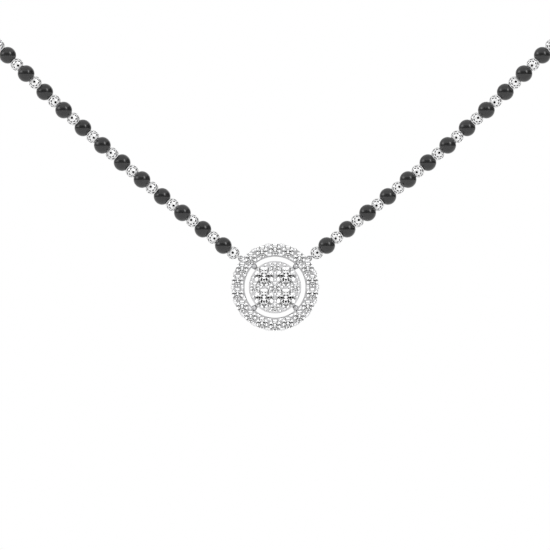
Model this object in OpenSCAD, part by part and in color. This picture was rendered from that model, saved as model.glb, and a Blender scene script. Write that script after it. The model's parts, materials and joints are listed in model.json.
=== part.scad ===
// Bead necklace with a round halo pendant. Millimetres, +Z up, the front faces -Y.
// The origin is where the clasp rests on the nape. The hidden route goes round the neck from there.

/* [Pendant] */
// diameter across the outer edges of the halo stones
halo_d = 11.9; // [10.5:0.1:14]
// gap between neighbouring halo stones
halo_stone_gap = 0.22; // [0.16:0.02:0.34]
// metal showing inside the halo stones
halo_wall = 0.22; // [0.16:0.02:0.32]
// height of the halo's metal above its back
halo_t = 1.05; // [0.95:0.05:1.4]
// diameter of the centre disc
disc_d = 7.12; // [6.4:0.08:7.36]
// height of the disc's metal above its back
disc_t = 1.25; // [1.2:0.05:1.6]
// metal rim of the disc outside the large stones
disc_rim = 0.15; // [0.1:0.01:0.2]
// gap between neighbouring large stones
large_stone_gap = 0.33; // [0.24:0.03:0.42]
// gap between the centre stone and the large stones
centre_stone_gap = 0.07; // [0.07:0.01:0.14]
// gap between the small stones and the large stones
small_stone_gap = 0.035; // [0.035:0.005:0.07]
// how much further in than the large stones the small stones end
small_stone_inset = 0.06; // [0.04:0.01:0.1]
// diameter of the four domed posts between disc and halo
post_d = 0.78; // [0.66:0.04:0.82]
// height of the top of the posts above the back
post_top = 1.5; // [1.3:0.05:1.8]
// how far the posts' middles stand inside the halo's inner edge
post_inset = 0.14; // [0.1:0.02:0.2]
// how far the halo stones stand out past the metal's outer edge
halo_edge_inset = 0.05; // [0.03:0.01:0.08]
// step round the edges of the pendant's back
back_step = 0.1; // [0.06:0.02:0.14]

/* [Stones] */
// table width as a share of the stone
table_share = 0.6; // [0.5:0.02:0.64]
// crown angle in degrees
crown_angle = 34; // [30:1:38]
// pavilion angle in degrees
pavilion_angle = 41; // [39:0.5:43]
// girdle height as a share of the stone
girdle_share = 0.035; // [0.02:0.005:0.05]
// gap between a stone and its seat
seat_gap = 0.03; // [0.02:0.005:0.04]
// depth of the metal's top below a stone's girdle
seat_drop = 0.16; // [0.12:0.02:0.22]
// diameter of a round prong
prong_d = 0.5; // [0.44:0.02:0.54]
// how far a prong's tip reaches over a stone's edge
prong_grip = 0.03; // [0.02:0.01:0.05]
// height of a prong's tip above the girdle
prong_rise = 0.22; // [0.16:0.02:0.3]
// how far the halo's outer prongs stand out past the stones
prong_stand_out = 0.07; // [0.04:0.01:0.09]
// metal between a prong and the edge that it stands on
prong_edge = 0.03; // [0.02:0.01:0.05]

/* [Beads] */
// diameter of a black bead
black_bead_d = 2.3; // [1.9:0.1:2.6]
// hole of a black bead
black_hole_d = 0.9; // [0.8:0.02:0.92]
// diameter of a silver bead
silver_bead_d = 1.75; // [1.5:0.05:2]
// hole of a silver bead, where the black beads seat
silver_hole_d = 1; // [0.92:0.02:1.04]
// least play between neighbouring beads along the thread
bead_gap = 0.045; // [0.03:0.005:0.08]
// how far the black beads step to the front and to the back in turn
weave = 0.35; // [0.2:0.05:0.35]

/* [Thread and rings] */
// thickness of the thread
thread_d = 0.2; // [0.14:0.02:0.22]
// wire of the eye at each end of the thread
eye_wire_d = 0.22; // [0.18:0.01:0.24]
// inside width of the eye
eye_hole_d = 0.4; // [0.38:0.01:0.46]
// wire of the soldered rings
ring_wire_d = 0.2; // [0.16:0.01:0.24]
// inside width of the soldered rings
ring_hole_d = 0.42; // [0.4:0.01:0.48]
// gap between the halo's edge and the soldered rings' wire
ring_stand_off = 0.05; // [0.04:0.01:0.06]
// height of the soldered rings above the pendant's back
ring_height = 0.75; // [0.6:0.05:0.85]
// angle of the soldered rings from the top of the pendant
ring_angle = 50; // [48:1:52]

/* [Clasp] */
// diameter of the clasp's barrel
clasp_d = 2.8; // [2.4:0.1:3.6]
// length of the clasp's barrel
clasp_l = 10.9; // [9:0.1:14]
// how far the wire of the clasp's rings is sunk in the barrel
ring_sink = 0.04; // [0.03:0.01:0.08]

/* [Hidden] */
$fn = 48;
halo_stones = 18;
eps = 0.01;
overlap = 0.1;
slope_reach = 0.5;
cut_l = 8;
bar_share = 0.7;
seat_hole_share = 0.5;
star_share = 0.44;
lower_share = 0.22;
ring_steps = 48;
wire_steps = 24;
stone_colour = [0.93, 0.94, 0.96, 0.6];
metal_colour = [0.82, 0.83, 0.85];

// Halo: a stone, its gap and the ring's diameter share one circle.
halo_half_angle = 180 / halo_stones;
halo_line_r = (halo_d + halo_stone_gap) / 2 / (1 + sin(halo_half_angle));
halo_stone_d = 2 * halo_line_r * sin(halo_half_angle) - halo_stone_gap;
halo_in_r = halo_line_r - halo_stone_d / 2 - halo_wall;
halo_out_r = halo_d / 2 - halo_edge_inset;
halo_girdle_z = halo_t + seat_drop;

// Disc: the four large stones touch the rim's inside and keep their gap from each other.
disc_r = disc_d / 2;
bed_r = disc_r - disc_rim;
large_stone_d = (sqrt(2) * bed_r - large_stone_gap) / (1 + sqrt(2) / 2);
large_stone_r = large_stone_d / 2;
large_line_r = bed_r - large_stone_r;
large_xy = large_line_r / sqrt(2);
centre_stone_d = 2 * (large_line_r - large_stone_r - centre_stone_gap);
centre_stone_r = centre_stone_d / 2;
small_bed_r = bed_r - small_stone_inset;
small_reach = large_stone_r + small_stone_gap;
small_stone_r = (pow(large_xy, 2) + pow(small_bed_r - large_xy, 2) - pow(small_reach, 2))
    / (2 * (small_bed_r - large_xy) + 2 * small_reach);
small_line_r = small_bed_r - small_stone_r;
disc_girdle_z = disc_t + seat_drop;

// Prongs on the axes stand at equal distances from the three stones that they share.
prong_r = prong_d / 2;
prong_foot = halo_t / 2;
rim_prong_r = disc_r - prong_r - prong_edge;
inner_prong_at = (2 * pow(large_xy, 2) - pow(large_stone_r - centre_stone_r, 2))
    / (2 * (large_stone_r - centre_stone_r) + 2 * large_xy);
inner_prong_r = inner_prong_at - centre_stone_r + prong_grip;
mid_prong_sum = small_line_r - small_stone_r + large_stone_r;
mid_prong_at = (pow(mid_prong_sum, 2) - 2 * pow(large_xy, 2)) / (2 * mid_prong_sum - 2 * large_xy);
mid_prong_r = small_line_r - small_stone_r - mid_prong_at + prong_grip;

// Posts stand between disc and halo and are tied to both by a bar beneath.
post_line_r = halo_in_r - post_inset;
bar_w = bar_share * post_d;

// Rings and eyes are round wire rings that pass through each other with equal play.
ring_r = (ring_hole_d + ring_wire_d) / 2;
eye_r = (eye_hole_d + eye_wire_d) / 2;
ring_line_r = halo_out_r + ring_wire_d / 2 + ring_stand_off;
ring_prong_line_r = ring_line_r - ring_hole_d / 2 - prong_r - prong_edge;

// Beads: a black bead rests in the mouth of a silver bead's hole.
black_r = black_bead_d / 2;
silver_r = silver_bead_d / 2;
mouth_r = silver_hole_d / 2;
silver_half_l = sqrt(pow(silver_r, 2) - pow(mouth_r, 2));
seat_reach = sqrt(pow(black_r, 2) - pow(mouth_r, 2)) + silver_half_l;
least_step = sqrt(pow(seat_reach + bead_gap, 2) - pow(weave, 2));
lead = silver_half_l + 2 * eye_r - eps;

// The beads and the pendant's back lie on one plane.
string_height = black_r + weave;

// Right half of the route from the first black bead to the clasp's middle, measured from the pendant's
// middle: across, back, up, and the way that the outside faces in degrees from the front.
ROUTE = [
    [7.03, 0, 5.66, 0],
    [17.4, 0, 14.05, 0],
    [27.9, 0, 23.3, 0],
    [38.4, 0, 33.65, 0],
    [48.5, 4.5, 44.6, 15],
    [57, 16.5, 56.6, 40],
    [61.5, 36.5, 70, 67],
    [61, 59, 81.8, 92],
    [54.2, 80.6, 91.3, 118],
    [40.2, 98.2, 98, 143],
    [21, 108.7, 101.7, 163],
    [0, 112, 102.8, 180]
];
route_last = len(ROUTE) - 1;
span_steps = 16;
nape_back = ROUTE[route_last][1];
nape_up = ROUTE[route_last][2];
pendant_y = clasp_d / 2 - nape_back + string_height;
pendant_z = -nape_up;

// Part coordinates of a point given as across, back and up from the pendant's middle.
function to_part(p) = [p[0], p[1] - nape_back + clasp_d / 2, p[2] - nape_up];

// The route's points with one more at each end, so that the curve has a slope there.
function route_point(i) =
    i < 0 ? 2 * ROUTE[0] - ROUTE[1] :
    i <= route_last ? ROUTE[i] :
    let (p = ROUTE[2 * route_last - i]) [-p[0], p[1], p[2], 360 - p[3]];

// A smooth curve through the route's points.
function route_curve(i, t) =
    let (a = route_point(i - 1), b = route_point(i), c = route_point(i + 1), d = route_point(i + 2))
    0.5 * (2 * b + (c - a) * t + (2 * a - 5 * b + 4 * c - d) * t * t + (3 * b - a - 3 * c + d) * t * t * t);

function place(v) = [v[0], v[1], v[2]];

PATH = concat(
    [for (i = [0:route_last - 1], k = [0:span_steps - 1]) route_curve(i, k / span_steps)],
    [ROUTE[route_last]]
);
path_last = len(PATH) - 1;
DISTANCES = [
    for (i = 0, s = 0; i <= path_last;
        i = i + 1, s = s + (i > path_last ? 0 : norm(place(PATH[i]) - place(PATH[i - 1])))) s
];
route_l = DISTANCES[path_last];

// The stretch of the path that holds distance s, found by halving.
function find_stretch(s, low = 0, high = path_last) =
    high - low < 2 ? low :
    let (mid = floor((low + high) / 2))
    s < DISTANCES[mid] ? find_stretch(s, low, mid) : find_stretch(s, mid, high);

// The path's point, with its facing, at distance s.
function path_at(s) =
    let (i = find_stretch(s), t = (s - DISTANCES[i]) / (DISTANCES[i + 1] - DISTANCES[i]))
    PATH[i] + t * (PATH[i + 1] - PATH[i]);

// Direction along the path and square to it towards the outside.
function path_along(s) =
    let (ahead = min(s + slope_reach, route_l - eps), behind = max(s - slope_reach, 0))
    let (d = place(path_at(ahead) - path_at(behind))) d / norm(d);
function path_outside(s) =
    let (turn = path_at(s)[3], along = path_along(s), o = [sin(turn), -cos(turn), 0])
    let (square = o - (o * along) * along) square / norm(square);

// The wire of the clasp's rings is sunk a little in the ends of its barrel.
clasp_ring_x = clasp_l / 2 + ring_r - ring_sink;
clasp_ring = [clasp_ring_x, clasp_d / 2, 0];
pendant_ring = [
    ring_line_r * sin(ring_angle),
    pendant_y - ring_height,
    pendant_z + ring_line_r * cos(ring_angle)
];

// Number of black beads on a side and their even spacing.
string_l = route_l - clasp_ring_x - lead;
black_count = floor((string_l / least_step + 1) / 2);
step = string_l / (2 * black_count - 1);

// Middles of the black beads of the right side, stepping to the front and back in turn.
BLACK = [
    for (i = [0:black_count - 1])
        let (s = 2 * i * step, side = i % 2 == 0 ? weave : -weave)
        to_part(place(path_at(s)) + side * path_outside(s))
];
black_last = black_count - 1;
reach = sqrt(pow(step, 2) + pow(weave, 2));

// A point at the bead spacing from a toward b.
function toward(a, b, distance) = a + (b - a) / norm(b - a) * distance;

// Each eye of the thread goes round the wire of its ring, on the side that faces the beads.
function eye_on(ring, bead) = toward(ring, [bead[0], ring[1], bead[2]], ring_r);
pendant_eye = eye_on(pendant_ring, BLACK[0]);
clasp_eye = eye_on(clasp_ring, BLACK[black_last]);

// Middles of the silver beads: one beyond each end of the black beads, the others between them.
SILVER = concat(
    [toward(BLACK[0], pendant_eye, reach)],
    [for (i = [0:black_last - 1]) (BLACK[i] + BLACK[i + 1]) / 2],
    [toward(BLACK[black_last], clasp_eye, reach)]
);

// The thread bends in the middle of each black bead and ends in the wire of its eyes.
THREAD = concat(
    [toward(pendant_eye, BLACK[0], eye_r)],
    BLACK,
    [toward(clasp_eye, BLACK[black_last], eye_r)]
);
thread_last = len(THREAD) - 1;
thread_sides = 8;

// Places a shape made facing +Z, with +Y up, as the pendant at the front.
module at_pendant() {
    translate([0, pendant_y, pendant_z])
        rotate([90, 0, 0])
            children();
}

// Turns a shape's Z axis to a direction.
module along(v) {
    rotate([0, acos(v[2] / norm(v)), atan2(v[1], v[0])])
        children();
}

// A round wire ring in the XY plane.
module wire_ring(r, wire_d) {
    rotate_extrude($fn = ring_steps)
        translate([r, 0])
            circle(d = wire_d, $fn = wire_steps);
}

// The left side is the right side's mirror image.
module side(name) {
    if (name == "right") children();
    else mirror([1, 0, 0]) children();
}

// A round brilliant: table, eight stars, eight kites, upper halves, girdle, lower halves and mains.
module brilliant(d) {
    r = d / 2;
    girdle = girdle_share * d / 2;
    table_r = table_share * r;
    crown = (r - table_r) * tan(crown_angle);
    depth = r * tan(pavilion_angle);
    table_in_r = table_r * cos(22.5);
    star_r = table_in_r + star_share * (r - table_in_r);
    star_z = girdle + crown * (r - star_r * cos(22.5)) / (r - table_r);
    lower_r = lower_share * r;
    lower_z = -girdle - depth * (1 - lower_r * cos(22.5) / r);
    points = concat(
        [for (i = [0:7]) [table_r * cos(45 * i), table_r * sin(45 * i), girdle + crown]],
        [for (i = [0:7]) [star_r * cos(45 * i + 22.5), star_r * sin(45 * i + 22.5), star_z]],
        [for (i = [0:15]) [r * cos(22.5 * i), r * sin(22.5 * i), girdle]],
        [for (i = [0:15]) [r * cos(22.5 * i), r * sin(22.5 * i), -girdle]],
        [for (i = [0:7]) [lower_r * cos(45 * i + 22.5), lower_r * sin(45 * i + 22.5), lower_z]],
        [[0, 0, -girdle - depth]]
    );
    star = 8;
    upper = 16;
    lower = 32;
    pavilion = 48;
    culet = 56;
    faces = concat(
        [[for (i = [7:-1:0]) i]],
        [for (i = [0:7]) [i, (i + 1) % 8, star + i]],
        [for (i = [0:7]) [i, star + i, upper + 2 * i, star + (i + 7) % 8]],
        [for (i = [0:7]) [star + i, upper + 2 * i + 1, upper + 2 * i]],
        [for (i = [0:7]) [star + i, upper + (2 * i + 2) % 16, upper + 2 * i + 1]],
        [for (i = [0:15]) [upper + i, upper + (i + 1) % 16, lower + (i + 1) % 16, lower + i]],
        [for (i = [0:7]) [pavilion + i, lower + 2 * i, lower + 2 * i + 1]],
        [for (i = [0:7]) [pavilion + i, lower + 2 * i + 1, lower + (2 * i + 2) % 16]],
        [for (i = [0:7]) [culet, pavilion + (i + 7) % 8, lower + 2 * i, pavilion + i]]
    );
    polyhedron(points, faces);
}

// The room that a stone takes in the metal, with a hole to the back under it.
module seat(d) {
    r = d / 2 + seat_gap;
    girdle = girdle_share * d / 2 + seat_gap;
    table_r = table_share * d / 2 + seat_gap;
    crown = (r - table_r) * tan(crown_angle);
    hole_r = seat_hole_share * r;
    hole_z = -girdle - (r - hole_r) * tan(pavilion_angle);
    rotate_extrude()
        polygon([
            [0, -cut_l / 2], [hole_r, -cut_l / 2], [hole_r, hole_z], [r, -girdle],
            [r, girdle], [table_r, girdle + crown], [0, girdle + crown]
        ]);
}

// A prong with a round tip.
module prong(r, foot, tip) {
    translate([0, 0, foot])
        cylinder(r = r, h = tip - r - foot);
    translate([0, 0, tip - r])
        sphere(r = r);
}

module centre_stone() {
    color(stone_colour)
        at_pendant()
            translate([0, 0, disc_girdle_z])
                brilliant(centre_stone_d);
}

module large_stone(i) {
    color(stone_colour)
        at_pendant()
            translate([large_line_r * cos(90 * i - 45), large_line_r * sin(90 * i - 45), disc_girdle_z])
                brilliant(large_stone_d);
}

module small_stone(i) {
    color(stone_colour)
        at_pendant()
            translate([small_line_r * cos(90 * i), small_line_r * sin(90 * i), disc_girdle_z])
                brilliant(2 * small_stone_r);
}

// Halo stones are counted clockwise from the top.
function halo_angle(i) = 90 - 2 * halo_half_angle * (i - 1);

module halo_stone(i) {
    color(stone_colour)
        at_pendant()
            translate([halo_line_r * cos(halo_angle(i)), halo_line_r * sin(halo_angle(i)), halo_girdle_z])
                brilliant(halo_stone_d);
}

// Angle at the middle between a stone and a prong that just grips it.
function grip_angle(stone_line_r, stone_d, line_r) =
    let (apart = stone_d / 2 + prong_r - prong_grip)
    acos((pow(line_r, 2) + pow(stone_line_r, 2) - pow(apart, 2)) / (2 * line_r * stone_line_r));

// A ring of metal with its back edges stepped in.
module halo_band() {
    rotate_extrude($fn = 96)
        polygon([
            [halo_in_r + back_step, 0], [halo_out_r - back_step, 0], [halo_out_r, back_step],
            [halo_out_r, halo_t], [halo_in_r, halo_t], [halo_in_r, back_step]
        ]);
}

module halo_prongs() {
    out_r = halo_d / 2 - prong_r + prong_stand_out;
    in_r = halo_in_r + prong_r + prong_edge;
    tip = halo_girdle_z + prong_rise;
    for (i = [1:halo_stones]) {
        from_top = (i - 0.5) * 2 * halo_half_angle;
        by_ring = abs(abs(from_top > 180 ? 360 - from_top : from_top) - ring_angle) < halo_half_angle;
        for (way = [-1, 1]) {
            if (!by_ring)
                rotate(halo_angle(i) + way * grip_angle(halo_line_r, halo_stone_d, out_r))
                    translate([out_r, 0])
                        prong(prong_r, prong_foot, tip);
            rotate(halo_angle(i) + way * grip_angle(halo_line_r, halo_stone_d, in_r))
                translate([in_r, 0])
                    prong(prong_r, prong_foot, tip);
        }
    }
    for (way = [-1, 1])
        rotate(90 + way * ring_angle)
            translate([ring_prong_line_r, 0])
                prong(prong_r, prong_foot, tip);
}

module disc_plate() {
    rotate_extrude($fn = 96)
        polygon([
            [0, 0], [disc_r - back_step, 0], [disc_r, back_step], [disc_r, disc_t], [0, disc_t]
        ]);
}

module disc_prongs() {
    tip = disc_girdle_z + prong_rise;
    for (i = [0:3])
        rotate(90 * i) {
            translate([inner_prong_at, 0]) prong(inner_prong_r, prong_foot, tip);
            translate([mid_prong_at, 0]) prong(mid_prong_r, prong_foot, tip);
            for (way = [-1, 1]) {
                rotate(way * grip_angle(small_line_r, 2 * small_stone_r, rim_prong_r))
                    translate([rim_prong_r, 0])
                        prong(prong_r, prong_foot, tip);
                rotate(45 + way * grip_angle(large_line_r, large_stone_d, rim_prong_r))
                    translate([rim_prong_r, 0])
                        prong(prong_r, prong_foot, tip);
            }
        }
}

module posts() {
    for (i = [0:3])
        rotate(45 + 90 * i) {
            translate([post_line_r, 0])
                prong(post_d / 2, back_step, post_top);
            translate([disc_r - overlap, -bar_w / 2, 2 * back_step])
                cube([halo_in_r - disc_r + 2 * overlap, bar_w, halo_t - 4 * back_step]);
        }
}

module soldered_rings() {
    for (way = [-1, 1])
        rotate(90 + way * ring_angle)
            translate([ring_line_r, 0, ring_height])
                wire_ring(ring_r, ring_wire_d);
}

// Room in the halo's edge for the thread's eyes.
module ring_notches() {
    for (way = [-1, 1])
        rotate(90 + way * ring_angle)
            translate([ring_line_r, 0])
                cylinder(d = ring_hole_d, h = cut_l, center = true);
}

module seats() {
    translate([0, 0, disc_girdle_z])
        seat(centre_stone_d);
    for (i = [0:3]) {
        rotate(45 + 90 * i)
            translate([large_line_r, 0, disc_girdle_z])
                seat(large_stone_d);
        rotate(90 * i)
            translate([small_line_r, 0, disc_girdle_z])
                seat(2 * small_stone_r);
    }
    for (i = [1:halo_stones])
        rotate(halo_angle(i))
            translate([halo_line_r, 0, halo_girdle_z])
                seat(halo_stone_d);
}

module pendant_setting() {
    color(metal_colour)
        at_pendant()
            union() {
                difference() {
                    union() {
                        halo_band();
                        halo_prongs();
                        disc_plate();
                        disc_prongs();
                        posts();
                    }
                    seats();
                    ring_notches();
                }
                soldered_rings();
            }
}

// A closed eye whose wire meets the thread's end.
module eye(middle, thread_end) {
    u = (thread_end - middle) / norm(thread_end - middle);
    across = [0, 1, 0] - u[1] * u;
    v = across / norm(across);
    w = cross(u, v);
    multmatrix([
        [u[0], v[0], w[0], middle[0]],
        [u[1], v[1], w[1], middle[1]],
        [u[2], v[2], w[2], middle[2]],
        [0, 0, 0, 1]
    ])
        wire_ring(eye_r, eye_wire_d);
}

// Direction of the thread at one of its points, halfway between the stretches before and after it.
function stretch_along(i) =
    let (k = min(max(i, 0), thread_last - 1), d = THREAD[k + 1] - THREAD[k]) d / norm(d);
function thread_along(i) =
    let (d = stretch_along(i - 1) + stretch_along(i)) d / norm(d);

// The eight points of the thread's edge at one of its points.
function thread_edge(i) =
    let (
        u = thread_along(i),
        out = path_outside(min(max(0, 2 * (i - 1) * step), route_l - 1)),
        a = (out - (out * u) * u) / norm(out - (out * u) * u),
        b = cross(u, a)
    )
    [for (k = [0:thread_sides - 1])
        THREAD[i] + thread_d / 2 * (cos(360 * k / thread_sides) * a + sin(360 * k / thread_sides) * b)];

module thread(name) {
    n = thread_sides;
    points = [for (i = [0:thread_last]) each thread_edge(i)];
    faces = concat(
        [[for (k = [0:n - 1]) k]],
        [for (i = [0:thread_last - 1], k = [0:n - 1]) [n * i + k, n * i + n + k, n * i + (k + 1) % n]],
        [for (i = [0:thread_last - 1], k = [0:n - 1])
            [n * i + n + k, n * i + n + (k + 1) % n, n * i + (k + 1) % n]],
        [[for (k = [n - 1:-1:0]) n * thread_last + k]]
    );
    color([0.75, 0.76, 0.78])
        side(name) {
            polyhedron(points, faces);
            eye(pendant_eye, THREAD[0]);
            eye(clasp_eye, THREAD[thread_last]);
        }
}

module drilled_ball(d, hole_d) {
    difference() {
        sphere(d = d);
        cylinder(d = hole_d, h = 2 * d, center = true, $fn = wire_steps);
    }
}

module black_beads(name) {
    color([0.12, 0.12, 0.13])
        side(name)
            for (i = [0:black_last])
                translate(BLACK[i])
                    along(thread_along(i + 1))
                        drilled_ball(black_bead_d, black_hole_d);
}

module silver_beads(name) {
    color([0.92, 0.92, 0.94])
        side(name)
            for (i = [0:black_last + 1])
                translate(SILVER[i])
                    along(THREAD[i + 1] - THREAD[i])
                        drilled_ball(silver_bead_d, silver_hole_d);
}

// A barrel with rounded shoulders and a ring at each end.
module clasp() {
    end = clasp_l / 2;
    r = clasp_d / 2;
    shoulder = [[0, 0], [0.5, 0], [0.85, 0.2], [1, 0.55]];
    color(metal_colour)
        translate([0, r, 0]) {
            rotate([0, 90, 0])
                rotate_extrude()
                    polygon(concat(
                        [for (i = [0:3]) [r * shoulder[i][0], r * shoulder[i][1] - end]],
                        [for (i = [3:-1:0]) [r * shoulder[i][0], end - r * shoulder[i][1]]]
                    ));
            for (way = [-1, 1])
                translate([way * clasp_ring_x, 0, 0])
                    rotate([90, 0, 0])
                        wire_ring(ring_r, ring_wire_d);
        }
}

pendant_setting();
centre_stone();
for (i = [1:4]) large_stone(i);
for (i = [1:4]) small_stone(i);
for (i = [1:halo_stones]) halo_stone(i);
thread("right");  // thread_right
thread("left");  // thread_left
black_beads("right");  // black_beads_right
black_beads("left");  // black_beads_left
silver_beads("right");  // silver_beads_right
silver_beads("left");  // silver_beads_left
clasp();
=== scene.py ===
"""Bead necklace with a round halo pendant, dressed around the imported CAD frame.

Metres, +Z up, front to -Y.
"""

import json
import logging
import math
from dataclasses import dataclass, field
from enum import Enum
from functools import cache
from typing import Callable, Iterable, Optional, Sequence, Union

import bmesh
import bpy
import numpy as np
from mathutils import Matrix, Vector

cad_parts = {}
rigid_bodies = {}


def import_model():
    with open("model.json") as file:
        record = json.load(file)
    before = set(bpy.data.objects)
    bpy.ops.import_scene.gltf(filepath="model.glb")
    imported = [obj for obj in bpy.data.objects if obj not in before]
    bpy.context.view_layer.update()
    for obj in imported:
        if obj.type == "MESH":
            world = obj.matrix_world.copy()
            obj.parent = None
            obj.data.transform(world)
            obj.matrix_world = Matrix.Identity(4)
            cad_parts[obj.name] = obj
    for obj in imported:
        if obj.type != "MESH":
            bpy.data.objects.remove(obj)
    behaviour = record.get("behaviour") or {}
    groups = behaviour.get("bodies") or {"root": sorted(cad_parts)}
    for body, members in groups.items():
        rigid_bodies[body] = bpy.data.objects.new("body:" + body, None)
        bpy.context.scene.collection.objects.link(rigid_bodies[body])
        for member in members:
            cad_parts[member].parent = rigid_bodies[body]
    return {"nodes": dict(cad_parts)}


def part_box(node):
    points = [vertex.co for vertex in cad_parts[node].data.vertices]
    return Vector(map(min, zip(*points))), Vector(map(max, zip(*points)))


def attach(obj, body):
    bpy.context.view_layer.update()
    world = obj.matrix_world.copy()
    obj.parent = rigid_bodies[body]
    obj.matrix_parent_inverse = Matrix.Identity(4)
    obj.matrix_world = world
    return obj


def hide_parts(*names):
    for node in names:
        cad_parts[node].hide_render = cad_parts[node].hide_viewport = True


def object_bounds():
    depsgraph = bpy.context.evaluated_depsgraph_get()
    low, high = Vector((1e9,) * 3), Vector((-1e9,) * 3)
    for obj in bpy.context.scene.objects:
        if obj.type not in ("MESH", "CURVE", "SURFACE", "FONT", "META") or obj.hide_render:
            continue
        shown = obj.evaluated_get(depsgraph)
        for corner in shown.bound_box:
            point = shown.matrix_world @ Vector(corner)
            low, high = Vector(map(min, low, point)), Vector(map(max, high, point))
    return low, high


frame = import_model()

CAD_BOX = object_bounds()
MM = 0.001

# Distance up to which corners of a CAD mesh count as one.
WELD = 0.0001 * MM

Socket = bpy.types.NodeSocket
Number = Union[float, Socket]
Colour = tuple[float, float, float, float]
Place = tuple[float, float, float]
Given = dict[str, object]

# Kinds of socket of a shader group.
VALUE = "NodeSocketFloat"
VECTOR = "NodeSocketVector"
COLOUR = "NodeSocketColor"

# Height of the polishing marks and lathe lines, and the stretch of the two sets of hairline scratches.
MARK_HEIGHT = 0.01 * MM
HAIR_WAYS = ((9.0, 1.0, 2.4), (1.4, 2.0, 11.0))

# The silver bead's attribute with each vertex's place in the bead, and its material slots past the first.
BEAD_PLACE = "bead_place"
PIT_SLOT = 1
CUT_SLOT = 2

# Tones of the bottoms of the silver bead's cuts: painted shade, near black.
CUT_SHADE_LIGHTER = (0.09, 0.09, 0.092, 1.0)
CUT_SHADE_DARKER = (0.05, 0.05, 0.052, 1.0)

log = logging.getLogger("necklace")


class Side(Enum):
    """The two arms of the string, as seen from the front."""

    RIGHT = "right"
    LEFT = "left"


class Slot(Enum):
    """Names of the record's material slots for the new pieces; the script doesn't use them."""

    BLACK_BEAD = "black_bead"
    SILVER_BEAD = "silver_bead"


class Nodes:
    """Short ways to add and join shader nodes in one tree."""

    def __init__(self, tree: bpy.types.NodeTree) -> None:
        """Keeps the tree that all calls work on."""
        self.tree = tree

    def put(self, target: Socket, value: object) -> None:
        """Joins a socket to an input, or sets the input to a plain value.

        Args:
            target: The input.
            value: A socket or a plain value.
        """
        if isinstance(value, bpy.types.NodeSocket):
            self.tree.links.new(value, target)
        else:
            target.default_value = value

    def add(self, kind: str, inputs: Optional[dict] = None, **settings: object) -> bpy.types.Node:
        """Adds a node.

        Args:
            kind: The node's type name.
            inputs: A socket or plain value for each input that is filled, by its name or number.
            settings: Values for the node's own properties.

        Returns:
            The new node.
        """
        made = self.tree.nodes.new(kind)
        for name, value in settings.items():
            setattr(made, name, value)
        for key, value in (inputs or {}).items():
            self.put(made.inputs[key], value)
        return made

    def math(self, operation: str, *values: Number, clamp: bool = False) -> Socket:
        """Works on sockets or numbers. Clamp holds the result between 0 and 1."""
        given = dict(enumerate(values))
        return self.add("ShaderNodeMath", given, operation=operation, use_clamp=clamp).outputs[0]

    def vector_math(self, operation: str, first: object, second: object) -> bpy.types.NodeOutputs:
        """Works on two vectors."""
        return self.add("ShaderNodeVectorMath", {0: first, 1: second}, operation=operation).outputs

    def split(self, vector: Socket) -> bpy.types.NodeOutputs:
        """Splits a vector into its X, Y and Z."""
        return self.add("ShaderNodeSeparateXYZ", {0: vector}).outputs

    def ramp(
        self, value: Number, low: float, high: float, to_low: Number = 0.0, to_high: Number = 1.0
    ) -> Socket:
        """Maps a value smoothly from one range to another.

        Args:
            value: What is mapped.
            low: Where the result is to_low.
            high: Where the result is to_high.
            to_low: Result at low.
            to_high: Result at high.

        Returns:
            The result's socket.
        """
        names = ("Value", "From Min", "From Max", "To Min", "To Max")
        given = dict(zip(names, (value, low, high, to_low, to_high)))
        made = self.add("ShaderNodeMapRange", given, interpolation_type="SMOOTHSTEP", clamp=True)
        return made.outputs["Result"]

    def mix(self, share: Number, first: object, second: object) -> Socket:
        """Mixes two colours. Share is how much of the second one shows."""
        return self.add("ShaderNodeMix", {0: share, 6: first, 7: second}, data_type="RGBA").outputs[2]

    def noise(self, place: Socket, scale: Number, detail: float = 2.0, rough: float = 0.5) -> Socket:
        """Adds a noise texture. Detail is its octaves."""
        given = {"Vector": place, "Scale": scale, "Detail": detail, "Roughness": rough}
        return self.add("ShaderNodeTexNoise", given).outputs["Fac"]

    def stretched(self, place: Socket, scale: Place) -> Socket:
        """Stretches coordinates along each axis."""
        return self.add("ShaderNodeMapping", {"Vector": place, "Scale": scale}).outputs["Vector"]

    def bump(self, height: Socket, strength: Number, under: Optional[Socket] = None) -> Socket:
        """Adds fine relief.

        Args:
            height: The relief, from 0 to 1.
            strength: How strongly it shows.
            under: The normal that it lies on, or None for the surface's own.

        Returns:
            The normal's socket.
        """
        given = {"Distance": MARK_HEIGHT, "Strength": strength, "Height": height}
        if under is not None:
            given["Normal"] = under
        return self.add("ShaderNodeBump", given).outputs["Normal"]

    def group(self, tree: bpy.types.NodeTree, **values: object) -> bpy.types.NodeOutputs:
        """Places a shader group and fills its inputs by their names."""
        return self.add("ShaderNodeGroup", values, node_tree=tree).outputs

    def drifting(self, place: Socket, first: Colour, second: Colour, scale: float) -> Socket:
        """Adds a tone that drifts between two colours. Scale is that of its clouds."""
        return self.group(tone_drift(), Vector=place, First=first, Second=second, Scale=scale)["Color"]


def new_group(
    name: str, inputs: dict[str, str], outputs: dict[str, str]
) -> tuple[Nodes, bpy.types.NodeOutputs, bpy.types.NodeInputs]:
    """Starts a shader node group.

    Args:
        name: The group's name.
        inputs: Socket kind of each input.
        outputs: Socket kind of each output.

    Returns:
        The group's nodes, the sockets that it is given and the sockets that it fills.
    """
    tree = bpy.data.node_groups.new(name, "ShaderNodeTree")
    for way, kinds in (("INPUT", inputs), ("OUTPUT", outputs)):
        for label, kind in kinds.items():
            tree.interface.new_socket(name=label, in_out=way, socket_type=kind)
    made = Nodes(tree)
    return made, made.add("NodeGroupInput").outputs, made.add("NodeGroupOutput").inputs


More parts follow.
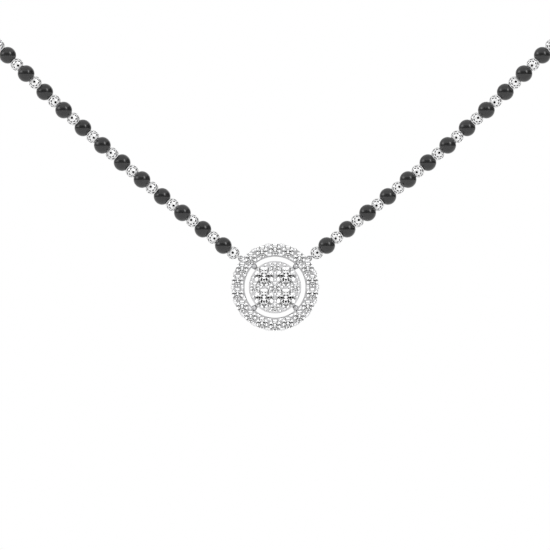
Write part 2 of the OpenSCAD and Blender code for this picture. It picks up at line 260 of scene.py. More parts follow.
@cache
def polish_marks() -> bpy.types.NodeTree:
    """Builds the group of faint wiping marks: roughness that drifts, and hairline scratches.

    Returns:
        The group.
    """
    inputs = {"Vector": VECTOR, "Smooth": VALUE, "Dull": VALUE, "Scale": VALUE, "Depth": VALUE}
    made, given, filled = new_group("polish_marks", inputs, {"Roughness": VALUE, "Normal": VECTOR})
    hair_share, broad_share, low, high = 0.6, 0.7, 0.25, 0.75
    place, scale = given["Vector"], given["Scale"]
    broad = made.math("MULTIPLY", made.noise(place, scale, detail=3.0), broad_share)
    hairs = [made.noise(made.stretched(place, way), scale, detail=4.0, rough=0.7) for way in HAIR_WAYS]
    both = made.math("MULTIPLY", *hairs)
    share = made.math("MULTIPLY_ADD", both, hair_share, broad, clamp=True)
    made.put(filled["Roughness"], made.ramp(share, low, high, given["Smooth"], given["Dull"]))
    made.put(filled["Normal"], made.bump(both, given["Depth"]))
    return made.tree


@cache
def tone_drift() -> bpy.types.NodeTree:
    """Builds the group of a colour that drifts between two tones, in broad clouds with fine grain.

    Returns:
        The group.
    """
    inputs = {"Vector": VECTOR, "First": COLOUR, "Second": COLOUR, "Scale": VALUE}
    made, given, filled = new_group("tone_drift", inputs, {"Color": COLOUR})
    finer, grain_share, cloud_share, low, high = 9.0, 0.35, 0.65, 0.3, 0.7
    place, scale = given["Vector"], given["Scale"]
    clouds = made.math("MULTIPLY", made.noise(place, scale), cloud_share)
    grain = made.noise(place, made.math("MULTIPLY", scale, finer), detail=3.0, rough=0.6)
    share = made.math("MULTIPLY_ADD", grain, grain_share, clouds, clamp=True)
    made.put(filled["Color"], made.mix(made.ramp(share, low, high), given["First"], given["Second"]))
    return made.tree


@cache
def seat_shade() -> bpy.types.NodeTree:
    """Builds the mask of painted shade: the depth between a front and a back plane, where the seats' metal
    is painted darker.

    Returns:
        The group.
    """
    inputs = {"Vector": VECTOR, "Front": VALUE, "Reach": VALUE, "Back": VALUE}
    made, given, filled = new_group("seat_shade", inputs, {"Mask": VALUE})
    back_share, patches, least, low, high = 0.5, 2600.0, 0.55, 0.2, 0.7
    y = made.split(given["Vector"])["Y"]
    behind = made.math("DIVIDE", made.math("SUBTRACT", y, given["Front"]), given["Reach"], clamp=True)
    back_reach = made.math("MULTIPLY", given["Reach"], back_share)
    before = made.math("DIVIDE", made.math("SUBTRACT", given["Back"], y), back_reach, clamp=True)
    uneven = made.ramp(made.noise(given["Vector"], patches, detail=3.0), low, high, least, 1.0)
    made.put(filled["Mask"], made.math("MULTIPLY", made.math("MULTIPLY", behind, before), uneven))
    return made.tree


@cache
def post_mask() -> bpy.types.NodeTree:
    """Builds the mask of four posts that stand along Y at the corners of a square.

    Returns:
        The group.
    """
    inputs = {"Vector": VECTOR, "Middle": VECTOR, "Line": VALUE, "Radius": VALUE}
    made, given, filled = new_group("post_mask", inputs, {"Mask": VALUE})
    edge, end = 1.04, 1.12
    away = made.split(made.vector_math("SUBTRACT", given["Vector"], given["Middle"])["Vector"])
    across, upright = (
        made.math("SUBTRACT", made.math("ABSOLUTE", away[axis]), given["Line"]) for axis in "XZ"
    )
    square = made.math("MULTIPLY_ADD", across, across, made.math("MULTIPLY", upright, upright))
    share = made.math("DIVIDE", made.math("SQRT", square), given["Radius"])
    made.put(filled["Mask"], made.ramp(share, edge, end, 1.0, 0.0))
    return made.tree


@dataclass(frozen=True)
class Finish:
    """A finish of the necklace or its floor.

    Args:
        name: The material's name.
    """

    name: str

    def values(self, made: Nodes, place: Socket) -> Given:
        """What the shader's inputs are given, by their names. Each kind of finish adds its own."""
        return {}

    def material(self) -> bpy.types.Material:
        """Builds the material on object coordinates.

        Returns:
            The material.
        """
        material = bpy.data.materials.new(self.name)
        material.use_nodes = True
        made = Nodes(material.node_tree)
        shader = next(n for n in material.node_tree.nodes if n.bl_idname == "ShaderNodeBsdfPrincipled")
        place = made.add("ShaderNodeTexCoord").outputs["Object"]
        for label, value in self.values(made, place).items():
            made.put(shader.inputs[label], value)
        return material


@dataclass(frozen=True)
class Polished(Finish):
    """A polished surface: a tone that drifts, and polishing marks.

    Args:
        bright: Colour where the surface is cleanest.
        soft: Colour where it is duller.
        clouds: Scale of the tone's clouds.
        smooth: Roughness where the surface is cleanest.
        dull: Roughness where it is duller.
        marks: Scale of the polishing marks.
        depth: Strength of the polishing marks.
    """

    bright: Colour = (0.93, 0.93, 0.935, 1.0)
    soft: Colour = (0.86, 0.86, 0.87, 1.0)
    clouds: float = 900.0
    smooth: float = 0.05
    dull: float = 0.12
    marks: float = 900.0
    depth: float = 0.06

    def values(self, made: Nodes, place: Socket) -> Given:
        """Adds the tone and the marks.

        Args:
            made: The material's nodes.
            place: Its object coordinates.

        Returns:
            The shader's colour, roughness and normal.
        """
        given = {"Smooth": self.smooth, "Dull": self.dull, "Scale": self.marks, "Depth": self.depth}
        marks = made.group(polish_marks(), Vector=place, **given)
        tone = made.drifting(place, self.bright, self.soft, self.clouds)
        return {"Base Color": tone, "Roughness": marks["Roughness"], "Normal": marks["Normal"]}


@dataclass(frozen=True)
class MetalFinish(Polished):
    """A polished metal."""

    def values(self, made: Nodes, place: Socket) -> Given:
        """The polish, on metal."""
        return super().values(made, place) | {"Metallic": 1.0}


@dataclass(frozen=True)
class SettingMetal(MetalFinish):
    """White metal round the stones, with painted shade that greys it down in the seats, and satin posts.

    Args:
        front: Height of the plane behind which the painted shade greys the metal, along Y.
        back: Height of the plane at which the painted shade ends again, along Y.
        reach: Depth behind the front plane over which it turns grey.
        grey: Colour of the painted shade at that depth.
        middle: The pendant's middle.
        post_line: Distance of the posts' axes from the pendant's middle, across and upright.
        post_radius: Radius of the posts.
        post_rough: Roughness of the posts.
        post_tone: Colour of the posts.
    """

    front: float = 0.0
    back: float = 0.0
    reach: float = 0.6 * MM
    grey: Colour = (0.07, 0.07, 0.072, 1.0)
    middle: Place = (0.0, 0.0, 0.0)
    post_line: float = 2.84 * MM
    post_radius: float = 0.39 * MM
    post_rough: float = 0.5
    post_tone: Colour = (0.6, 0.6, 0.61, 1.0)

    def values(self, made: Nodes, place: Socket) -> Given:
        """Paints shade into the polished metal in the seats and makes its posts satin.

        Args:
            made: The material's nodes.
            place: Its object coordinates.

        Returns:
            What the shader's inputs are given.
        """
        values = super().values(made, place)
        tone, rough = values["Base Color"], values["Roughness"]
        # Painted shade: the metal is greyed by depth down in the seats, where shade falls between the
        # stones.
        seat = {"Front": self.front, "Reach": self.reach, "Back": self.back}
        shade = made.group(seat_shade(), Vector=place, **seat)["Mask"]
        post = {"Middle": self.middle, "Line": self.post_line, "Radius": self.post_radius}
        posts = made.group(post_mask(), Vector=place, **post)["Mask"]
        rougher = made.math("SUBTRACT", self.post_rough, rough)
        values["Base Color"] = made.mix(posts, made.mix(shade, tone, self.grey), self.post_tone)
        values["Roughness"] = made.math("MULTIPLY_ADD", rougher, posts, rough)
        return values


@dataclass(frozen=True)
class TurnedSilver(Polished):
    """Satin silver of the small beads, with fine lathe lines round each bead's pits.

    Args:
        lines: Turns of the lathe lines in a millimetre, in radians.
        line_depth: Strength of the lathe lines.
        frosted: Share of the surface that is frosted white, without a mirror's shine.
        thread: Direction of the thread's hole in the bead's own coordinates.
        ends: Distances along the thread, in millimetres, between which the frost closes over the ends.
    """

    bright: Colour = (0.985, 0.985, 0.985, 1.0)
    soft: Colour = (0.94, 0.94, 0.945, 1.0)
    clouds: float = 1400.0
    smooth: float = 0.24
    dull: float = 0.38
    marks: float = 1400.0
    lines: float = 40.0
    line_depth: float = 0.3
    frosted: float = 0.45
    thread: Place = (-1.0, 0.0, 0.0)
    ends: tuple[float, float] = (0.4, 0.6)

    def values(self, made: Nodes, place: Socket) -> Given:
        """Adds the lines and the frost, which follow the bead's own coordinates.

        Args:
            made: The material's nodes.
            place: Its object coordinates.

        Returns:
            What the shader's inputs are given.
        """
        values = super().values(made, place)
        local = made.add("ShaderNodeAttribute", attribute_name=BEAD_PLACE).outputs["Vector"]
        wave = made.math("SINE", made.math("MULTIPLY", made.split(local)["Z"], self.lines))
        out = made.math("ABSOLUTE", made.vector_math("DOT_PRODUCT", local, self.thread)["Value"])
        values["Metallic"] = made.ramp(out, *self.ends, 1.0 - self.frosted, 0.0)
        values["Normal"] = made.bump(wave, self.line_depth, values["Normal"])
        return values


@dataclass(frozen=True)
class BlackStone(Polished):
    """Polished black stone of the large beads.

    Args:
        ior: Its refractive index.
    """

    name: str = "black_bead_stone"
    bright: Colour = (0.029, 0.029, 0.0295, 1.0)
    soft: Colour = (0.037, 0.037, 0.0375, 1.0)
    clouds: float = 420.0
    smooth: float = 0.035
    dull: float = 0.08
    marks: float = 700.0
    depth: float = 0.04
    ior: float = 1.55

    def values(self, made: Nodes, place: Socket) -> Given:
        """The polish, on stone."""
        return super().values(made, place) | {"IOR": self.ior}


@dataclass(frozen=True)
class PitFinish(Finish):
    """The inside of a drilled pit, painted near black: painted shade where the pit lies in shade.

    Args:
        dark: Its darkest tone.
        less_dark: Its lightest tone.
        clouds: Scale of its clouds.
        grain: Scale of its unevenness.
        spread: Noise at which its roughness is lowest and highest.
        rough: Its lowest and highest roughness.
        shine: How strongly it mirrors.
    """

    name: str = "pit_painted_shade"
    dark: Colour = (0.006, 0.006, 0.007, 1.0)
    less_dark: Colour = (0.02, 0.02, 0.021, 1.0)
    clouds: float = 4000.0
    grain: float = 6000.0
    spread: tuple[float, float] = (0.3, 0.7)
    rough: tuple[float, float] = (0.55, 0.8)
    shine: float = 0.2

    def values(self, made: Nodes, place: Socket) -> Given:
        """The painted shade, dull and uneven."""
        # Painted shade: the pit's inside is given near-black tones.
        return {
            "Base Color": made.drifting(place, self.dark, self.less_dark, self.clouds),
            "Roughness": made.ramp(made.noise(place, self.grain), *self.spread, *self.rough),
            "Specular IOR Level": self.shine,
        }


@dataclass(frozen=True)
class CutStone(Finish):
    """Clear brilliant-cut stone.

    Args:
        ior: Its refractive index.
        clear: Its clearest tint.
        tinted: Its strongest tint.
        clouds: Scale of its tint's clouds.
        grain: Scale of the haze on its faces.
        spread: Noise at which the haze begins and is strongest.
        haze: Roughness of the haze where it is strongest.
    """

    name: str = "clear_cut_stone"
    ior: float = 2.42
    clear: Colour = (1.0, 1.0, 1.0, 1.0)
    tinted: Colour = (0.975, 0.98, 0.99, 1.0)
    clouds: float = 300.0
    grain: float = 1500.0
    spread: tuple[float, float] = (0.35, 0.75)
    haze: float = 0.008

    def values(self, made: Nodes, place: Socket) -> Given:
        """The clear stone, with a touch of haze."""
        return {
            "Base Color": made.drifting(place, self.clear, self.tinted, self.clouds),
            "Roughness": made.ramp(made.noise(place, self.grain), *self.spread, 0.0, self.haze),
            "IOR": self.ior,
            "Transmission Weight": 1.0,
        }


@dataclass(frozen=True)
class FloorFinish(Finish):
    """Pale floor with a little light of its own.

    Args:
        tones: Its two tones.
        clouds: Scale of its clouds.
        rough: Its roughness.
        shine: How strongly it mirrors.
        glow: Its own light.
    """

    name: str = "pale_floor"
    tones: tuple[Colour, Colour] = ((0.93, 0.93, 0.93, 1.0), (0.9, 0.9, 0.9, 1.0))
    clouds: float = 3.0
    rough: float = 0.6
    shine: float = 0.1
    glow: float = 0.16

    def values(self, made: Nodes, place: Socket) -> Given:
        """The floor's tone, which it also gives off."""
        tone = made.drifting(place, *self.tones, self.clouds)
        return {
            "Base Color": tone,
            "Roughness": self.rough,
            "Specular IOR Level": self.shine,
            "Emission Color": tone,
            "Emission Strength": self.glow,
        }


def select_only(*objects: bpy.types.Object) -> None:
    """Selects some objects alone, and makes the first one active.

    Args:
        objects: The objects.
    """
    bpy.ops.object.select_all(action="DESELECT")
    for each in objects:
        each.select_set(True)
    bpy.context.view_layer.objects.active = objects[0]


def pick(obj: bpy.types.Object, mode: str, test: Callable[[object], bool]) -> None:
    """Selects parts of the mesh that is being edited.

    Args:
        obj: The object in edit mode.
        mode: VERT, EDGE or FACE.
        test: True for each part to select.
    """
    bpy.ops.mesh.select_mode(type=mode)
    bpy.ops.mesh.select_all(action="DESELECT")
    shape = bmesh.from_edit_mesh(obj.data)
    parts = {"VERT": shape.verts, "EDGE": shape.edges, "FACE": shape.faces}[mode]
    for part in parts:
        if test(part):
            part.select_set(True)
    shape.select_flush_mode()
    bmesh.update_edit_mesh(obj.data)


def middle(part: object) -> Vector:
    """The mean place of an edge's or a face's corners."""
    return sum((v.co for v in part.verts), Vector()) / len(part.verts)


def pendant_middle() -> Vector:
    """The middle of the pendant, from its CAD box."""
    low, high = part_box("centre_stone")
    return (low + high) / 2


def neck_middle() -> Vector:
    """The middle of the whole loop, seen from above, at the pendant's height."""
    low, high = CAD_BOX
    return Vector(((low.x + high.x) / 2, (low.y + high.y) / 2, pendant_middle().z))


@dataclass
class Ball:
    """A drilled ball read from the frame.

    Args:
        centre: Its middle.
        axis: Direction of its hole.
    """

    centre: np.ndarray
    axis: np.ndarray


def balls_of(node: str) -> list[Ball]:
    """Finds the drilled balls of a CAD node.

    Args:
        node: The node's name.

    Returns:
        One Ball for each loose solid in it.
    """
    shape = bmesh.new()
    shape.from_mesh(frame["nodes"][node].data)
    bmesh.ops.remove_doubles(shape, verts=shape.verts, dist=WELD)
    shape.verts.ensure_lookup_table()
    seen: set[int] = set()
    found = []
    for first in shape.verts:
        if first.index in seen:
            continue
        seen.add(first.index)
        members, front = [first], [first]
        while front:
            vert = front.pop()
            for edge in vert.link_edges:
                other = edge.other_vert(vert)
                if other.index not in seen:
                    seen.add(other.index)
                    members.append(other)
                    front.append(other)
        found.append(ball_from(members))
    shape.free()
    return found


def ball_from(members: Sequence[object]) -> Ball:
    """Fits a drilled ball to the corners of one loose solid.

    Args:
        members: Its vertices.

    Returns:
        The ball, with its hole's axis.
    """
    points = np.array([v.co[:] for v in members])
    flat = np.hstack([2 * points, np.ones((len(points), 1))])
    centre = np.linalg.lstsq(flat, (points**2).sum(1), rcond=None)[0][:3]
    faces = {f for v in members for f in v.link_faces}
    facing = [(np.array(f.calc_center_median()[:]), np.array(f.normal[:])) for f in faces]
    inward = np.array([normal for place, normal in facing if (place - centre) @ normal < 0])
    return Ball(centre, np.linalg.svd(inward)[2][-1])


@dataclass
class BeadString:
    """The two kinds of bead of one arm, in order from the pendant to the clasp."""

    side: Side
    black: list[Ball] = field(default_factory=list)
    silver: list[Ball] = field(default_factory=list)

    def read(self) -> None:
        """Reads both nodes and puts their beads in order."""
        black = balls_of(f"black_beads_{self.side.value}")
        silver = balls_of(f"silver_beads_{self.side.value}")
        here = np.array(pendant_middle())
        take_silver = True
        while black or silver:
            pool = silver if take_silver else black
            if not pool:
                break
            nearest = min(range(len(pool)), key=lambda i: np.linalg.norm(pool[i].centre - here))
            ball = pool.pop(nearest)
            (self.silver if take_silver else self.black).append(ball)
            here = ball.centre
            take_silver = not take_silver

    def outsides(self) -> list[np.ndarray]:
        """Finds the direction away from the neck.

        Returns:
            The direction at each stretch between two black beads.
        """
        middles = np.array([b.centre for b in self.black])
        steps = middles[1:-1] - (middles[:-2] + middles[2:]) / 2
        ways = []
        for i in range(len(middles) - 1):
            k = min(max(i - 1, 0), len(steps) - 2)
            way = steps[k] - steps[k + 1]
            way /= np.linalg.norm(way)
            neck = (middles[i] + middles[i + 1]) / 2 - np.array(neck_middle())
            ways.append(way if way @ neck > 0 else -way)
        return ways


@dataclass
class BlackBead:
    """Round black bead with a drilled hole whose lips are rounded.

    Args:
        radius: Radius of the ball.
        hole_radius: Radius of the hole.
        around: Sides round its axis.
        rings: Rings from end to end.
        lip: Rounding of the hole's edges.
        lip_steps: Steps of that rounding.
        hole_margin: Share past the hole's radius up to which an edge counts as the hole's.
        smooth_angle: Angle between faces, in degrees, up to which they look smooth.
    """

    radius: float = 1.145 * MM
    hole_radius: float = 0.45 * MM
    around: int = 32
    rings: int = 16
    lip: float = 0.035 * MM
    lip_steps: int = 2
    hole_margin: float = 0.01
    smooth_angle: float = 50.0

    def build(self, finish: bpy.types.Material) -> bpy.types.Object:
        """Models the bead round its own Z axis.

        Args:
            finish: Its material.

        Returns:
            The bead.
        """
        bpy.ops.object.select_all(action="DESELECT")
        bpy.ops.mesh.primitive_uv_sphere_add(segments=self.around, ring_count=self.rings, radius=self.radius)
        bead = bpy.context.object
        bead.name = "black_bead_master"
        bead.data.materials.append(finish)
        bpy.ops.object.mode_set(mode="EDIT")
        step = math.pi / self.rings
        first_ring = math.floor(math.asin(self.hole_radius / self.radius) / step + 0.5)
        inside = self.radius * math.sin(step * (first_ring - 0.5))
        pick(bead, "VERT", lambda v: v.co.xy.length < inside)
        bpy.ops.mesh.delete(type="VERT")
        across = self.hole_radius / (self.radius * math.sin(step * first_ring))
        hole_end = math.sqrt(self.radius**2 - self.hole_radius**2)
        upright = hole_end / (self.radius * math.cos(step * first_ring))
        pick(bead, "EDGE", lambda e: e.is_boundary)
        bpy.ops.transform.resize(value=(across, across, upright), center_override=(0.0, 0.0, 0.0))
        bpy.ops.mesh.bridge_edge_loops()
        pick(bead, "EDGE", self.is_hole_edge)
        bpy.ops.mesh.bevel(offset=self.lip, segments=self.lip_steps, affect="EDGES")
        bpy.ops.mesh.select_all(action="SELECT")
        bpy.ops.mesh.normals_make_consistent(inside=False)
        bpy.ops.object.mode_set(mode="OBJECT")
        select_only(bead)
        bpy.ops.object.shade_smooth_by_angle(angle=math.radians(self.smooth_angle))
        return bead

    def is_hole_edge(self, edge: object) -> bool:
        """True for the edges round the ends of the hole."""
        close = self.hole_radius * (1.0 + self.hole_margin)
        first, second = edge.verts
        level = abs(first.co.z - second.co.z) < self.lip
        return level and all(v.co.xy.length < close for v in (first, second))


@dataclass
class SilverBead:
    """Small silver bead: a drilled ball, cut in rings round a pit on its outer side.

    Args:
        radius: Radius of the ball.
        hole_radius: Radius of the hole for the thread, along Z.
        around: Sides round the pit's axis, and round the hole.
        rings: Rings from pit to pit.
        lean: Angle of the pit's axis from X towards Z, in degrees.
        pit_depth: Depth of the pits.
        pit_wall: Upright part of a face's normal below which it is a wall of a pit.
        cup_rows: Rows of faces, counted from the pit, that hold the cut cups.
        cup_pitch: Faces from one cup to the next. All but one of them are in the cup.
        cup_depth: Depth of the cups.
        edge: Width of the rim left round a cup.
        cup_span: Angle round the pit's axis that holds cups, to each side of X, in degrees.
        plain_ends: Angle round the thread's hole that stays uncut, in degrees.
        smooth_angle: Angle between faces, in degrees, up to which they look smooth.
    """

    radius: float = 0.875 * MM
    hole_radius: float = 0.5 * MM
    around: int = 24
    rings: int = 16
    lean: float = 27.0
    pit_depth: float = 0.22 * MM
    pit_wall: float = 0.5
    cup_rows: tuple[int, ...] = (3, 5)
    cup_pitch: int = 3
    cup_depth: float = 0.06 * MM
    edge: float = 0.018 * MM
    cup_span: float = 115.0
    plain_ends: float = 44.0
    smooth_angle: float = 24.0

    @property
    def tilt(self) -> float:
        """Turn about Y that brings the pit's axis from Z to where it leans."""
        return math.radians(90 - self.lean)

    @property
    def pit_radius(self) -> float:
        """Radius of the pits, which are the first row of faces."""
        return self.radius * math.sin(math.pi / self.rings)

    def thread_way(self) -> Vector:
        """Direction of the thread's hole while the pit's axis is still along Z."""
        return Vector((-math.sin(self.tilt), 0.0, math.cos(self.tilt)))

    def row(self, face: object) -> int:
        """Counts the rows of faces.

        Args:
            face: A face.

        Returns:
            Its row, counted from the nearer pit.
        """
        place = middle(face)
        angle = math.acos(min(1.0, abs(place.z) / place.length))
        return int(angle / (math.pi / self.rings))

    def is_cup(self, face: object) -> bool:
        """Chooses the faces that are cut into cups, which are staggered from row to row.

        Args:
            face: A face.

        Returns:
            True if it is cut.
        """
        row = self.row(face)
        place = middle(face)
        turn = math.atan2(place.y, place.x)
        end = abs(place.normalized() @ self.thread_way()) > math.cos(math.radians(self.plain_ends))
        if row not in self.cup_rows or end or abs(turn) > math.radians(self.cup_span):
            return False
        column = math.floor(turn / (2 * math.pi / self.around))
        return (column + self.cup_rows.index(row)) % self.cup_pitch != 0

    def build(self, finishes: Sequence[bpy.types.Material]) -> bpy.types.Object:
        """Models the bead with its thread hole along Z and its pit near X.

        Args:
            finishes: Materials of its outside, the painted shade of its pits and the painted shade in the
                bottoms of its cuts.

        Returns:
            The bead.
        """
        bpy.ops.object.select_all(action="DESELECT")
        bpy.ops.mesh.primitive_uv_sphere_add(segments=self.around, ring_count=self.rings, radius=self.radius)
        bead = bpy.context.object
        bead.name = "silver_bead_master"
        for finish in finishes:
            bead.data.materials.append(finish)
        bpy.ops.object.mode_set(mode="EDIT")
        pick(bead, "FACE", self.is_cup)
        # The cut bottoms go to the slot of their painted shade.
        self.mark(bead, CUT_SLOT)
        bpy.ops.mesh.inset(thickness=self.edge, depth=-self.cup_depth)
        for way in (1, -1):
            self.sink_pit(bead, way)
        bpy.ops.object.mode_set(mode="OBJECT")
        bead.rotation_euler = (0.0, self.tilt, 0.0)
        select_only(bead)
        bpy.ops.object.transform_apply(location=False, rotation=True, scale=False)
        self.bore(bead)
        self.store_place(bead)
        select_only(bead)
        bpy.ops.object.shade_smooth_by_angle(angle=math.radians(self.smooth_angle))
        return bead

    def sink_pit(self, bead: bpy.types.Object, way: int) -> None:
        """Sinks the pit at one end of the pits' axis and gives it the slot of its painted shade.

        Args:
            bead: The bead in edit mode, with that axis along Z.
            way: 1 for the upper pit and -1 for the lower one.
        """
        inwards = (0.0, 0.0, -way * self.pit_depth)
        pick(bead, "FACE", lambda f: self.row(f) == 0 and middle(f).z * way > 0)
        bpy.ops.mesh.extrude_region_move(TRANSFORM_OT_translate={"value": inwards})
        bpy.ops.mesh.select_more()
        # Painted shade: the pit's wall and bottom take the near-black finish.
        self.mark(bead, PIT_SLOT, self.in_pit)

    def in_pit(self, face: object) -> bool:
        """True for the wall and the bottom of a pit, while its axis is along Z."""
        return abs(face.normal.z) < self.pit_wall or middle(face).xy.length < self.pit_radius

    @staticmethod
    def mark(bead: bpy.types.Object, slot: int, test: Callable[[object], bool] = lambda f: True) -> None:
        """Puts the selected faces in a material slot.

        Args:
            bead: The bead in edit mode.
            slot: The slot's number.
            test: True for the selected faces that are meant.
        """
        shape = bmesh.from_edit_mesh(bead.data)
        for face in shape.faces:
            if face.select and test(face):
                face.material_index = slot
        bmesh.update_edit_mesh(bead.data)

    def store_place(self, bead: bpy.types.Object) -> None:
        """Stores each vertex's place in the bead, in millimetres, with Z along the pit's axis.

        Args:
            bead: The bead.
        """
        back = Matrix.Rotation(-self.tilt, 3, "Y")
        store = bead.data.attributes.new(BEAD_PLACE, "FLOAT_VECTOR", "POINT")
        for i, vert in enumerate(bead.data.vertices):
            store.data[i].vector = back @ vert.co / MM

    def bore(self, bead: bpy.types.Object) -> None:
        """Drills the thread's hole along Z.

        Args:
            bead: The bead.
        """
        length = 4 * self.radius
        bpy.ops.object.select_all(action="DESELECT")
        bpy.ops.mesh.primitive_cylinder_add(vertices=self.around, radius=self.hole_radius, depth=length)
        drill = bpy.context.object
        cut = bead.modifiers.new("thread_hole", "BOOLEAN")
        cut.operation = "DIFFERENCE"
        cut.solver = "EXACT"
        cut.object = drill
        select_only(bead)
        bpy.ops.object.modifier_apply(modifier=cut.name)
        bpy.data.objects.remove(drill)


def threaded(master: bpy.types.Object, places: Iterable[Matrix], name: str) -> bpy.types.Object:
    """Copies a bead to its places and joins the copies.

    Args:
        master: The bead, round the origin.
        places: Where each copy goes.
        name: Name of the joined piece.

    Returns:
        The joined piece, with its place in its mesh.
    """
    copies = []
    for place in places:
        copy = master.copy()
        copy.data = master.data.copy()
        copy.data.transform(place)
        bpy.context.scene.collection.objects.link(copy)
        copies.append(copy)
    select_only(*copies)
    bpy.ops.object.join()
    piece = bpy.context.object
    piece.name = piece.data.name = name
    return piece


def frame_at(ball: Ball, up: np.ndarray, outside: np.ndarray) -> Matrix:
    """A turn and shift that puts a bead's Z along the thread and its X to the outside.

    Args:
        ball: Where the bead goes.
        up: Direction along the thread.
        outside: Direction away from the neck.

    Returns:
        The matrix.
    """
    z = Vector(ball.axis if ball.axis @ up > 0 else -ball.axis).normalized()
    x = Vector(outside)
    x = (x - x.dot(z) * z).normalized()
    turn = Matrix((x, z.cross(x), z)).transposed().to_4x4()
    return Matrix.Translation(Vector(ball.centre)) @ turn


def finish_piece(piece: bpy.types.Object, node: str) -> None:
    """Tells the frame what a piece stands for.

    Args:
        piece: The piece.
        node: The CAD node that it replaces.
    """
    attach(piece, "root")
    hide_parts(node)
    log.info("%s: %d faces", piece.name, len(piece.data.polygons))


def dress(node: str, material: bpy.types.Material) -> None:
    """Gives a CAD node its finished material.

    Args:
        node: The node's name.
        material: The material.
    """
    obj = frame["nodes"][node]
    obj.data.materials.clear()
    obj.data.materials.append(material)
    log.info("%s dressed in %s", node, material.name)


@dataclass
class BlackBeads:
    """The black beads of one arm."""

    string: BeadString

    def build(self, master: bpy.types.Object) -> bpy.types.Object:
        """Strings the beads.

        Args:
            master: The modelled bead with its finish.

        Returns:
            The arm's black beads as one piece.
        """
        side = self.string.side.value
        outs = self.string.outsides()
        outs.append(outs[-1])
        places = [frame_at(ball, ball.axis, out) for ball, out in zip(self.string.black, outs)]
        piece = threaded(master, places, f"polished_black_beads_{side}")
        finish_piece(piece, f"black_beads_{side}")
        return piece


@dataclass
class SilverBeads:
    """The silver beads of one arm. Each turns its pit to the black bead that stands further out."""

    string: BeadString

    def places(self) -> list[Matrix]:
        """Works out where each bead goes.

        Returns:
            Each bead's turn and shift, with Z towards its outer neighbour.
        """
        black, silver = self.string.black, self.string.silver
        outs = self.string.outsides()
        found = []
        for i, ball in enumerate(silver):
            out = outs[min(max(i - 1, 0), len(outs) - 1)]
            before, after = black[max(i - 1, 0)].centre, black[min(i, len(black) - 1)].centre
            if i == 0:
                towards = after - ball.centre
            elif i == len(silver) - 1:
                towards = before - ball.centre
            else:
                towards = (before - after) if (before - after) @ out > 0 else (after - before)
            found.append(frame_at(ball, towards, out))
        return found

    def build(self, master: bpy.types.Object) -> bpy.types.Object:
        """Strings the beads.

        Args:
            master: The modelled bead with its finishes.

        Returns:
            The arm's silver beads as one piece.
        """
        side = self.string.side.value
        piece = threaded(master, self.places(), f"ring_cut_silver_beads_{side}")
        finish_piece(piece, f"silver_beads_{side}")
        return piece


@dataclass
class Pendant:
    """The halo pendant: its white metal setting and its stones, which are all CAD nodes.

    Args:
        stone: Finish of the stones.
        large: Number of large stones.
        small: Number of small stones.
        halo: Number of halo stones.
        seat_front: How far the painted shade in the seats begins behind the setting's front.
        seat_back: How far it ends before the setting's back.
    """

    stone: CutStone = field(default_factory=CutStone)
    large: int = 4
    small: int = 4
    halo: int = 18
    seat_front: float = 0.35 * MM
    seat_back: float = 0.05 * MM

    def stones(self) -> list[str]:
        """Names of all stone nodes."""
        counts = {"large_stone": self.large, "small_stone": self.small, "halo_stone": self.halo}
        return ["centre_stone"] + [f"{kind}_{i}" for kind, n in counts.items() for i in range(1, n + 1)]

    def dress(self) -> None:
        """Gives the setting and the stones their finishes."""
        low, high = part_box("pendant_setting")
        metal = SettingMetal(
            "pendant_white_metal",
            front=low.y + self.seat_front,
            back=high.y - self.seat_back,
            middle=tuple(pendant_middle()),
        )
        dress("pendant_setting", metal.material())
        material = self.stone.material()
        for node in self.stones():
            dress(node, material)


@dataclass
class Clasp:
    """The plain barrel at the nape."""

    finish: MetalFinish = MetalFinish(
        "clasp_white_metal", clouds=500.0, smooth=0.07, dull=0.2, marks=500.0, depth=0.12
    )

    def dress(self) -> None:
        """Gives the clasp its finish."""
        dress("clasp", self.finish.material())


@dataclass
class Threads:
    """The thread of each arm, with its closed end eyes."""

    finish: MetalFinish = MetalFinish(
        "thread_wire_metal", bright=(0.8, 0.8, 0.81, 1.0), soft=(0.6, 0.6, 0.61, 1.0), smooth=0.15, dull=0.3
    )

    def dress(self) -> None:
        """Gives both threads their finish."""
        material = self.finish.material()
        for side in Side:
            dress(f"thread_{side.value}", material)


@dataclass
class SoftPanel:
    """A large soft light in front that lights some white metal and leaves the black stone alone.

    Args:
        name: Its name.
        power: Its light, in watts.
        elevation: Degrees above the horizon.
        distance: From the pendant to the panel.
        wide: Width of the panel.
        high: Height of the panel.
    """

    name: str
    power: float
    elevation: float = 14.0
    distance: float = 1.0
    wide: float = 3.2
    high: float = 1.4

    def __post_init__(self) -> None:
        """Adds the panel, facing the pendant."""
        data = bpy.data.lights.new(self.name, "AREA")
        data.shape = "RECTANGLE"
        data.size = self.wide
        data.size_y = self.high
        data.energy = self.power
        lamp = bpy.data.objects.new(self.name, data)
        bpy.context.scene.collection.objects.link(lamp)
        rise = math.radians(self.elevation)
        way = Vector((0.0, -math.cos(rise), math.sin(rise)))
        lamp.location = pendant_middle() + way * self.distance
        lamp.rotation_euler = (-way).to_track_quat("-Z", "Y").to_euler()
        lamp.visible_camera = False
        self.lit = bpy.data.collections.new(f"lit_by_{self.name}")
        lamp.light_linking.receiver_collection = self.lit
        lamp.light_linking.blocker_collection = self.lit

    def light(self, piece: bpy.types.Object) -> None:
        """Lets the panel light a piece."""
        self.lit.objects.link(piece)


@dataclass
class Window:
    """A soft bright patch of the studio. Angles are in degrees.

    Args:
        azimuth: To the right of the front.
        elevation: Above the horizon.
        wide: Half width.
        high: Half height.
        strength: Light added at its middle.
    """

    azimuth: float
    elevation: float
    wide: float
    high: float
    strength: float


@dataclass
class Band:
    """A dark band round the studio, with soft edges. Angles are in degrees.

    Args:
        low: Elevation of its lower edge.
        high: Elevation of its upper edge.
        low_soft: Half width over which the lower edge fades.
        high_soft: Half width over which the upper edge fades.
    """

    low: float
    high: float
    low_soft: float
    high_soft: float


